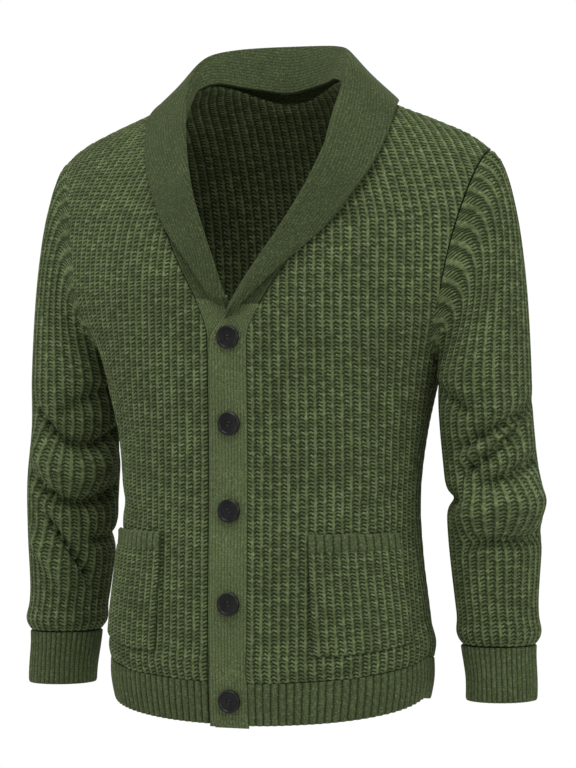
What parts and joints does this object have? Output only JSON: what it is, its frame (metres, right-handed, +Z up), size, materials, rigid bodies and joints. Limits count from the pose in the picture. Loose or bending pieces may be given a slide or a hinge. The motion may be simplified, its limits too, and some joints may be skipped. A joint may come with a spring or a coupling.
{
  "type": "shawl collar cardigan",
  "caption": "Chunky rib-knit shawl collar cardigan in worn shape, buttoned front, patch pockets, ribbed hem and cuffs, open and hollow as on an invisible figure.",
  "frame": {"origin": "on the centre plane at the base of the neck, at the height where the shoulder line meets the neck, where the wearer holds the garment up", "axes": "+X to the wearer's left, -Y to the front, +Z up"},
  "size_m": [0.6058, 0.2577, 0.7457],
  "materials": {
    "chunky_knit": "matte melange rib knit",
    "fine_knit": "matte fine-gauge melange knit",
    "button_plastic": "satin near-black"
  },
  "bodies": {
    "root": {"front_left": "chunky_knit", "front_right": "chunky_knit", "back": "chunky_knit", "hem_left": "chunky_knit", "hem_right": "chunky_knit", "hem_back": "chunky_knit", "sleeve_left": "chunky_knit", "sleeve_right": "chunky_knit", "cuff_left": "chunky_knit", "cuff_right": "chunky_knit", "button_band": "fine_knit", "under_band": "fine_knit", "shawl_collar": "fine_knit", "pocket_left": "chunky_knit", "pocket_right": "chunky_knit", "button_1": "button_plastic", "button_2": "button_plastic", "button_3": "button_plastic", "button_4": "button_plastic", "button_5": "button_plastic"}
  },
  "joints": []
}
